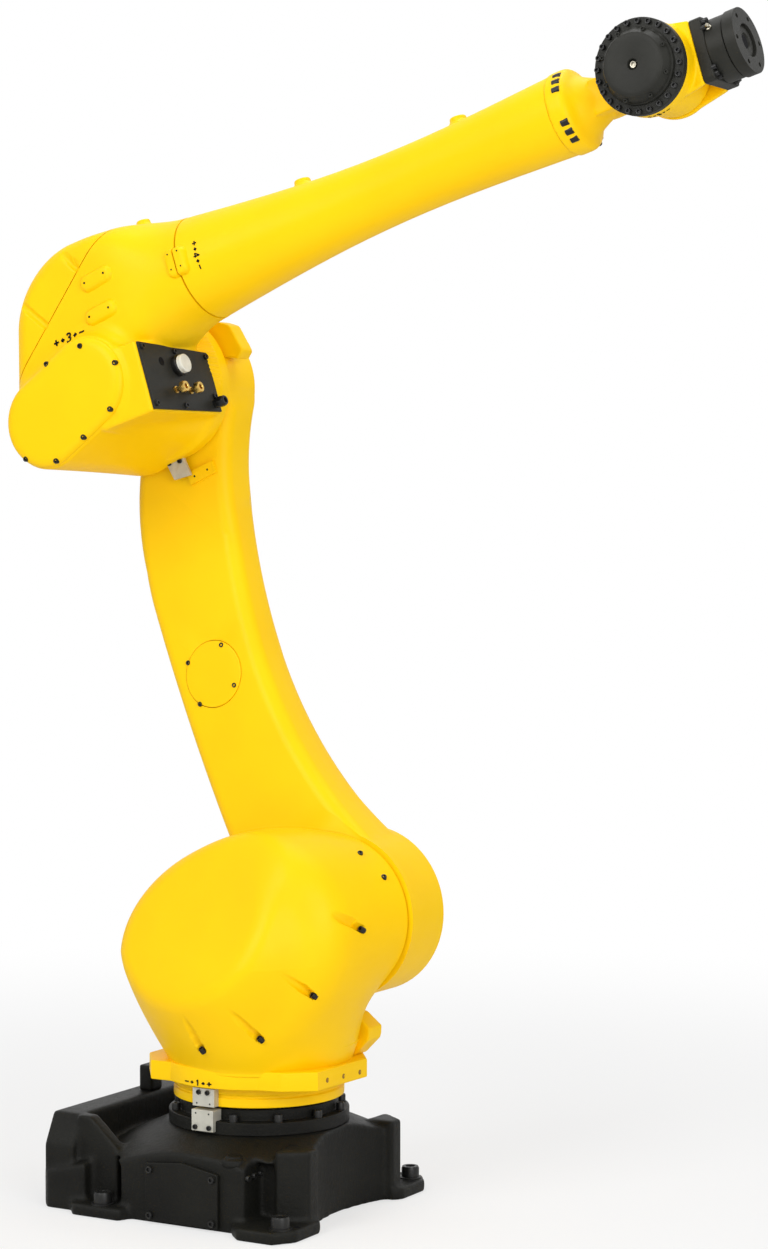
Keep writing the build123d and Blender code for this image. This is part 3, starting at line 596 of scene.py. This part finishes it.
# turned pieces: rows of radius and height along the axis, millimetres in the body's own frame
turnedPieces = {
    "accessCover": {"body": "lower_arm", "finish": "yellow_paint", "nodes": ("lower_arm_cover",),
                    "seat": (-114, 108.3, 559), "axis": armLean["facing"], "round": 2.0,
                    "outline": ((50, -9), (68.6, -9), (68.6, 2), (40, 2))},
    "elbowBoss": {"body": "elbow", "finish": "yellow_paint", "nodes": ("elbow_lifting_boss",),
                  "seat": (132, 0, 0), "axis": upward, "round": 4.0,
                  "outline": ((10, 284), (27, 285), (21, 291.5), (15, 296), (14, 305.6), (5, 306))},
    "rearBoss": {"body": "forearm", "finish": "yellow_paint", "nodes": ("lifting_boss_rear",),
                 "seat": (510, 0, 0), "axis": upward, "round": 4.0, "outline": bossRows},
    "frontBoss": {"body": "forearm", "finish": "yellow_paint", "nodes": ("lifting_boss_front",),
                  "seat": (870, 0, -9), "axis": upward, "round": 4.0, "outline": bossRows},
    "connectorCollar": {"body": "elbow", "finish": "bolt_black", "nodes": ("round_connector",),
                        "seat": (0, -24, -6), "axis": forward, "round": 2.0,
                        "outline": ((15, 136), (22, 136), (22, 148), (18, 150), (12, 150))},
    "connectorCap": {"body": "elbow", "finish": "white_cap", "seat": (0, -24, -6), "axis": forward, "round": 2.0,
                     "outline": ((12, 148), (19, 148), (19, 151), (18.4, 152), (19, 153), (19, 159), (16, 160),
                                 (6, 159.6))},
    "wristDisc": {"body": "wrist", "finish": "black_steel", "nodes": ("wrist_cover_near",),
                  "seat": (0, 0, 0), "axis": outward, "round": 2.0,
                  "outline": ((60, 91.2), (86.5, 91.2), (88, 93), (88, 109), (60, 109))},
    "wristDome": {"body": "wrist", "finish": "black_steel", "nodes": ("wrist_cap",),
                  "seat": (0, 0, 0), "axis": outward, "round": 2.0,
                  "outline": ((55, 106), (70, 106), (70, 114), (67.5, 116.5), (66, 122), (57.5, 136), (50, 137),
                              (10.5, 137), (9.6, 135.5), (9.4, 129), (3, 129))},
    "flangeSpigot": {"body": "tool", "finish": "black_steel", "seat": (0, 0, 0), "axis": forward, "round": 1.0,
                     "outline": ((20, 163), (31, 163), (31, 166), (26, 167.5), (17, 167.5), (15, 166), (14.5, 164.2),
                                 (6, 164.2))},
    "shoulderBearing": {"body": "turret", "finish": "black_steel", "seat": (150, 0, 580), "axis": inward, "round": 1.0,
                        "outline": ((60, 52), (140, 52), (140, 60.5), (60, 60.5))},
    "elbowBearing": {"body": "elbow", "finish": "black_steel", "seat": (0, 0, 0), "axis": inward, "round": 1.0,
                     "outline": ((60, 132), (125, 132), (125, 140.5), (60, 140.5))},
    "shoulderBoss": {"body": "base", "finish": "black_casting", "seat": (87, -228, 0), "axis": upward, "round": 4.0,
                     "outline": ((12, 126), (26, 128), (24, 140), (17, 143), (15, 147), (6, 148))},
}
for pieceName, piece in turnedPieces.items():
    outline, place = roundCorners(piece["outline"], piece["round"]), bodyFrames[piece["body"]]
    mesh = turnedMesh(pieceName, outline, place, piece["seat"], piece["axis"])
    finishPiece(mesh, pieceName, piece["body"], piece["finish"], piece.get("nodes", ()))
print("turned pieces drawn:", len(turnedPieces))


# heads of the fasteners: radius, height and how far each row follows a hexagon
def socketHead(radius, height):
    return ((radius, -3, 0), (radius, 0.8 * height, 0), (0.9 * radius, height, 0), (0.6 * radius, height, 0),
            (0.58 * radius, 0.96 * height, 1), (0.54 * radius, 0.4 * height, 1))


# a thin dished disc laid on the surface where a hole is; its dark finish is painted shade of the hole's inside
def holeShadeDisc(radius):
    return ((radius, -2, 0), (radius, 0.2, 0), (0.86 * radius, 0.4, 0), (0.6 * radius, 0.1, 0))


fitting = ((7.5, 136, 0), (7.5, 140, 0), (5, 141, 0), (5, 150, 0), (9, 151, 0), (12, 152.5, 1), (12, 162, 1),
           (10.6, 164, 0.2), (6, 164, 0), (5, 163, 0), (4.6, 157, 0))
gland = ((9.5, 136, 0), (9.5, 145, 0), (12, 147, 1), (12, 155, 1), (10.8, 157, 0), (10.4, 161, 0), (9, 163, 0),
         (6, 163, 0), (5.4, 158, 0))
washer = ((23, -1, 0), (23, 2, 0), (21, 3, 0))
nipple = ((6, -3, 1), (6, 4, 1), (3.4, 5, 0), (3.4, 8, 0), (4.2, 9.5, 0), (3, 11.5, 0))


def onSide(spots, depth):
    # spots of the side view at one depth, or each at its own
    return np.insert(np.asarray(spots, float), 1, depth, axis=1)


def onTop(spots, height):
    return np.insert(np.asarray(spots, float), 2, height, axis=1)


def onFront(spots, reach):
    return np.insert(np.asarray(spots, float), 0, reach, axis=1)


def ringSpots(radius, turns):
    turns = np.radians(np.asarray(turns, float))
    return radius * np.stack([np.cos(turns), np.sin(turns)], 1)


def fasten(name, body, finish, head, seats, axis, nodes=(), segments=24, sharpAngle=30):
    mesh = turnedMesh(name, head, bodyFrames[body], seats, axis, segments)
    finishPiece(mesh, name, body, finish, nodes, sharpAngle)


corner = np.array([(across, rise) for across in (-1, 1) for rise in (-1, 1)])
footSpots, plateDepth = corner * (205, 250), {"base": -190, "turret": -186}
fasten("footBolts", "base", "bolt_black", socketHead(18, 22), onTop(footSpots, 26), upward)
fasten("footWashers", "base", "bolt_black", washer, onTop(footSpots, 24), upward)
# dark discs below stand for holes, openings and a bore; their near-black colour is painted shade of each recess
fasten("footHoles", "base", "mark_ink", holeShadeDisc(6), onTop(corner * (226, 222), 24), upward)
fasten("sideCoverBolts", "base", "bolt_black", socketHead(7, 6),
       onSide([(-88, 106), (56, 102), (56, 17), (-88, 17)], -258), outward)
fasten("pocketBolts", "base", "bolt_black", socketHead(6, 6),
       onFront([(-236, 108), (-214, 109), (-192, 110)], 122), forward)
fasten("ringBolts", "base", "bolt_black", socketHead(9, 14),
       onTop(ringSpots(168.5, np.arange(15, 375, 30)), 196), upward)
fasten("basePlateBolts", "base", "bolt_black", socketHead(5, 4),
       onSide([(-27, 184), (5, 184)], plateDepth["base"]), outward)
fasten("basePlateHoles", "base", "mark_ink", holeShadeDisc(1.8), onSide([(-26, 211), (4, 211)], plateDepth["base"]), outward)
fasten("turretPlateBolts", "turret", "bolt_black", socketHead(5, 4),
       onSide([(-21, 252), (-1, 252)], plateDepth["turret"]), outward)
fasten("turretPlateHoles", "turret", "mark_ink", holeShadeDisc(1.8),
       onSide([(-26, 230), (4, 230)], plateDepth["turret"]), outward)
# the flange's holes are flat discs in painted shade
fasten("flangeHoles", "turret", "tapped_hole", holeShadeDisc(5),
       [(206.5, -79, 279), (209.1, -22, 277.5), (211.8, 36, 276)], forward)
scoopBoltSeats = scoopSeats - scoopSkin * turret["boltSink"] - scoopRuns * turret["boltBack"]
fasten("scoopBolts", "turret", "bolt_black", socketHead(6, 9), scoopBoltSeats, scoopRuns)
fasten("drumScoopBolts", "turret", "bolt_black", socketHead(5.5, 6),
       [(225.7, 13.6, 710), (272, 26.3, 665)], (0.3, -0.45, 0.8))
armSpots = np.array([(-75.6, 607), (-165.5, 603.6), (-72.3, 517.7), (-165, 512.7)])
armNear = armLean["depth"] + (armSpots[:, 1] - armLean["from"]) * armLean["slope"]
fasten("accessBolts", "lower_arm", "bolt_black", socketHead(5, 4), onSide(armSpots, armNear), armLean["facing"])
# the mark pad's holes are flat discs in painted shade
fasten("armPadHoles", "lower_arm", "mark_ink", holeShadeDisc(2.2), onSide([(-11, 955), (23, 955)], 135), outward)
# bolts along the rim of the side cover, as deep as the cover's skin is at their distance from its middle line
drumSpots = np.array([(84, 13.6), (46, -69.8), (-32.5, -102.3), (-110, -127), (-180, -100.6), (-74.6, 64.5),
                      (17.4, 70.9)])
drumWay, drumCover, drumRise = np.array([-0.94, -0.342]), padShapes["sideCover"], 1.5
drumRun = np.clip(drumSpots @ drumWay, 0, 2 * drumCover["spread"][0])[:, None] * drumWay
drumInset, drumSkin = np.array(drumCover["rows"], float).T
drumDepth = np.interp(drumCover["girth"] - np.linalg.norm(drumSpots - drumRun, axis=1), drumInset, drumSkin)
fasten("drumBolts", "elbow", "bolt_black", socketHead(5.5, 5), onSide(drumSpots, drumDepth + drumRise), outward)
padDepth, seamDepth, panelReach = oblongPad["rows"][-1][1], padShapes["rearSeamPad"]["rows"][-1][1], 137
# at the pads and seams, flat discs in painted shade stand for the screw recesses
fasten("padScrews", "elbow", "mark_ink", holeShadeDisc(2.4),
       onSide([(40, 197), (89, 201), (31, 129), (80, 132)], padDepth), outward)
fasten("seamScrewsRear", "elbow", "mark_ink", holeShadeDisc(1.8), onSide([(237, 187), (237, 156)], seamDepth), outward)
fasten("seamScrewsFront", "forearm", "mark_ink", holeShadeDisc(1.8), onSide([(260, 187), (260, 156)], seamDepth), outward)
fasten("elbowPlateBolts", "elbow", "bolt_black", socketHead(5, 4), onSide([(-33, -154), (-7, -157)], 122), outward)
fasten("panelBolts", "elbow", "bolt_black", socketHead(6, 5),
       onFront([(-132, 31), (-22, 25), (88, 18), (-132, -87), (-30, -89), (84, -66)], panelReach), forward)
# the panel's opening is a flat disc in painted shade
fasten("panelOpening", "elbow", "mark_ink", holeShadeDisc(9), onFront([(-76, 2)], panelReach), forward)
fasten("nearFitting", "elbow", "brass_fitting", fitting, [(0, -52, -57)], forward, ("air_fitting_near",))
fasten("farFitting", "elbow", "brass_fitting", fitting, [(0, 0, -57)], forward, ("air_fitting_far",))
fasten("cableGland", "elbow", "bolt_black", gland, [(0, 80, -82)], forward, ("cable_gland",))
flareTurns = [side + lean for side in (0, 180) for lean in (-52, -38, -24, 24, 38, 52)]
fasten("flareBolts", "forearm", "bolt_black", socketHead(8, 12),
       onFront(ringSpots(74.5, flareTurns) + (0, forearmLift), 1106), forward)
fasten("discBolts", "wrist", "bolt_black", socketHead(5.4, 6.5),
       onSide(ringSpots(81, np.arange(0, 360, 15)), -109), outward)
fasten("domeTabs", "wrist", "black_steel", socketHead(4, 5),
       onSide(ringSpots(65, np.arange(14, 374, 45)), -126), outward)
fasten("domeScrew", "wrist", "bright_steel", socketHead(6.5, 4), [(0, -129.5, 0)], outward)
plateSpots = np.vstack([corner * (48, 48), corner * (53, 37), corner * (37, 53)])
fasten("plateBolts", "wrist", "bolt_black", socketHead(5, 7), onFront(plateSpots, 114), forward)
# the tool flange's bore is a flat disc in painted shade
fasten("flangeBore", "tool", "mark_ink", holeShadeDisc(13), [(164.4, 0, 0)], forward)
fasten("greaseNipple", "wrist", "bright_steel", nipple, [(124, -49, 33)], (0.1, -0.83, 0.55))
print("fasteners drawn")

# zero marks: each stroke is a flat ribbon, its width carried along the stroke, laid on the skin of the piece
strokes = {"+": [((0.05, 0.5), (0.75, 0.5)), ((0.4, 0.15), (0.4, 0.85))], "-": [((0.05, 0.5), (0.75, 0.5))],
           "o": [((0.4, 0.22), (0.4, 0.78))], "1": [((0.25, 0.72), (0.45, 1.0), (0.45, 0.0))],
           "3": [((0.1, 0.86), (0.3, 1.0), (0.55, 0.96), (0.65, 0.78), (0.55, 0.6), (0.3, 0.54)),
                 ((0.3, 0.54), (0.6, 0.46), (0.7, 0.26), (0.58, 0.06), (0.3, 0.0), (0.08, 0.14))],
           "4": [((0.55, 0.0), (0.55, 1.0), (0.08, 0.3), (0.75, 0.3))],
           "5": [((0.65, 1.0), (0.2, 1.0), (0.16, 0.55), (0.45, 0.62), (0.68, 0.42), (0.6, 0.1), (0.3, 0.0),
                  (0.08, 0.12))]}
ribbon = {"samples": 28, "width": 0.2, "swell": 0.6, "advance": 0.95, "proud": 0.7, "thickness": 0.4}


def strokeRibbon(path, swells):
    # even steps along the stroke, moved to both sides of it by half the width
    path = np.asarray(path, float)
    length = np.concatenate([[0], np.cumsum(np.linalg.norm(np.diff(path, axis=0), axis=1))])
    steps = np.linspace(0, length[-1], ribbon["samples"])
    spine = np.stack([np.interp(steps, length, path[:, k]) for k in (0, 1)], 1)
    ahead = np.gradient(spine, axis=0)
    ahead = ahead / np.linalg.norm(ahead, axis=1, keepdims=True)
    across = np.stack([-ahead[:, 1], ahead[:, 0]], 1)
    taper = 1 - np.abs(np.linspace(-1, 1, ribbon["samples"]))
    width = (ribbon["swell"] * taper if swells else ribbon["width"] + 0 * taper)[:, None, None]
    return spine[:, None] + across[:, None] * width * np.array([-0.5, 0.5])[None, :, None]


def zeroMark(name, text, size, body, layOn):
    ribbons = np.stack([strokeRibbon(path, sign == "o") + (spot * ribbon["advance"], 0)
                        for spot, sign in enumerate(text) for path in strokes[sign]]) * size
    mesh = gridMesh(name, toWorld(bodyFrames[body], layOn(ribbons[..., 0], ribbons[..., 1])), closed=False)
    film = finishPiece(mesh, name, body, "mark_ink").modifiers.new("film", "SOLIDIFY")
    film.thickness, film.offset = ribbon["thickness"] / 1000, 0.0


# where each mark starts on its piece, in the frame of its body
markSpots = {"flange": {"x": -52, "z": 265.5, "squash": 0.8},
             "drum": {"x": -74, "z": 99, "proud": 1.8, "depths": (-190.0, -60.0), "halvings": 18},
             "forearm": {"x": 287, "rise": 33, "seam": 250, "taper": 0.122},
             "wrist": {"turn": -89, "middle": 24, "girth": 87, "depth": -70}}


def onFlange(u, v):
    spot = markSpots["flange"]
    x, girth = spot["x"] + u, flange["girth"] + ribbon["proud"]
    return np.stack([x, -np.sqrt(girth ** 2 - x ** 2), spot["z"] + spot["squash"] * v], -1)


def onDrumSide(u, v):
    # halving along the depth finds the elbow's skin under every point
    spot = markSpots["drum"]
    spots = np.stack([spot["x"] + u, np.zeros_like(u), spot["z"] + v], -1)
    outside, inside = (np.full(u.shape, depth) for depth in spot["depths"])
    for halving in range(spot["halvings"]):
        spots[..., 1] = (outside + inside) / 2
        hit = elbowField(spots.reshape(-1, 3)).reshape(u.shape) < 0
        outside, inside = np.where(hit, outside, spots[..., 1]), np.where(hit, spots[..., 1], inside)
    spots[..., 1] = outside - spot["proud"] * ribbon["proud"]
    return spots


def onForearm(u, v):
    # the mark reads downwards round the tube, whose girth falls with the distance from the seam
    spot = markSpots["forearm"]
    x, rise = spot["x"] + v, spot["rise"] - u
    girth = elbow["seamGirth"] - spot["taper"] * (x - spot["seam"]) + ribbon["proud"]
    return np.stack([x, -np.sqrt(girth ** 2 - rise ** 2), forearmLift + rise], -1)


def onWristRing(u, v):
    spot = markSpots["wrist"]
    turn = np.radians(spot["turn"]) + (u - spot["middle"]) / spot["girth"]
    girth = spot["girth"] + ribbon["proud"]
    return np.stack([girth * np.cos(turn), spot["depth"] - v, girth * np.sin(turn)], -1)


zeroMark("turretMark", "-o1o+", 14.5, "turret", onFlange)
zeroMark("elbowMark", "+o3o-", 18, "elbow", onDrumSide)
zeroMark("forearmMark", "+o4o-", 13.0, "forearm", onForearm)
zeroMark("wristMark", "+o5o-", 10.0, "wrist", onWristRing)
print("marks laid")

# studio: pale floor, white surround, soft lamps
studio = {"floorHalf": 40.0, "floorShade": 0.82, "floorGlow": 0.62, "clearFrom": 0.9, "clearTo": 3.6, "worldFill": 0.42}
lamps = {"keyLamp": {"spot": (-0.9, -5.3, 4.3), "aim": (0, 0, 1.2), "power": 184, "size": 3.2},
         "fillLamp": {"spot": (4.5, -3.0, 2.4), "aim": (0, 0, 1.2), "power": 125, "size": 3.0},
         "topLamp": {"spot": (0.4, 0.6, 5.2), "aim": (0, 0, 0.8), "power": 80, "size": 3.0}}


def studioFloor():
    half = studio["floorHalf"]
    mesh = bpy.data.meshes.new("studioFloor")
    mesh.from_pydata([(-half, -half, 0), (half, -half, 0), (half, half, 0), (-half, half, 0)], [], [(0, 1, 2, 3)])
    floor = bpy.data.objects.new("studioFloor", mesh)
    bpy.context.scene.collection.objects.link(floor)
    material = bpy.data.materials.new("paleFloor")
    material.use_nodes = True
    tree = material.node_tree
    tree.nodes.clear()
    pen = Wire(tree)
    shade = studio["floorShade"]
    matt = pen.node("ShaderNodeBsdfDiffuse", None, {"Color": (shade, shade, shade, 1)})
    glow = pen.node("ShaderNodeEmission", None, {"Color": (1, 1, 1, 1), "Strength": 1.0})
    direct = pen.node("ShaderNodeLightPath", out="Is Camera Ray")
    # the floor clears to the white surround away from the shadow
    spot = pen.node("ShaderNodeTexCoord", out="Object")
    away = pen.node("ShaderNodeVectorMath", {"operation": "LENGTH"}, {0: spot}, "Value")
    clear = pen.node("ShaderNodeMapRange", {"interpolation_type": "SMOOTHSTEP"},
                     {0: away, 1: studio["clearFrom"], 2: studio["clearTo"], 3: studio["floorGlow"], 4: 1.0})
    both = pen.node("ShaderNodeMixShader", None, {0: direct * clear, 1: matt, 2: glow})
    pen.node("ShaderNodeOutputMaterial", None, {"Surface": both})
    mesh.materials.append(material)


def studioWorld():
    world = bpy.data.worlds.new("whiteStudio")
    bpy.context.scene.world = world
    world.use_nodes = True
    tree = world.node_tree
    tree.nodes.clear()
    pen = Wire(tree)
    path = tree.nodes.new("ShaderNodeLightPath")
    seen = Wire(tree, path.outputs["Is Camera Ray"]) + Wire(tree, path.outputs["Is Glossy Ray"])
    strength = pen.maths("MINIMUM", studio["worldFill"] + seen * (1.0 - studio["worldFill"]), 1.0)
    sky = pen.node("ShaderNodeBackground", None, {"Color": (1, 1, 1, 1), "Strength": strength})
    pen.node("ShaderNodeOutputWorld", None, {"Surface": sky})


def softLamp(name, spot, aim, power, size):
    lamp = bpy.data.lights.new(name, "AREA")
    lamp.energy, lamp.size = power, size
    holder = bpy.data.objects.new(name, lamp)
    bpy.context.scene.collection.objects.link(holder)
    holder.location = spot
    holder.rotation_euler = (Vector(aim) - Vector(spot)).to_track_quat("-Z", "Y").to_euler()


studioFloor()
studioWorld()
for lampName, lampLook in lamps.items():
    softLamp(lampName, **lampLook)

# camera at the photo's place, in metres and degrees
photoView = {"spot": (3.187, -5.022, 1.405), "heading": 30.0, "pitch": -2.4, "lens": 86.43, "sensor": 36.0}
camera = bpy.data.cameras.new("photoCamera")
camera.lens, camera.sensor_width, camera.sensor_fit = photoView["lens"], photoView["sensor"], "AUTO"
holder = bpy.data.objects.new("photoCamera", camera)
bpy.context.scene.collection.objects.link(holder)
holder.location = photoView["spot"]
heading, pitch = math.radians(photoView["heading"]), math.radians(photoView["pitch"])
sight = Vector((-math.sin(heading) * math.cos(pitch), math.cos(heading) * math.cos(pitch), math.sin(pitch)))
holder.rotation_euler = sight.to_track_quat("-Z", "Y").to_euler()
bpy.context.scene.camera = holder
bpy.context.scene.view_settings.view_transform = "Standard"
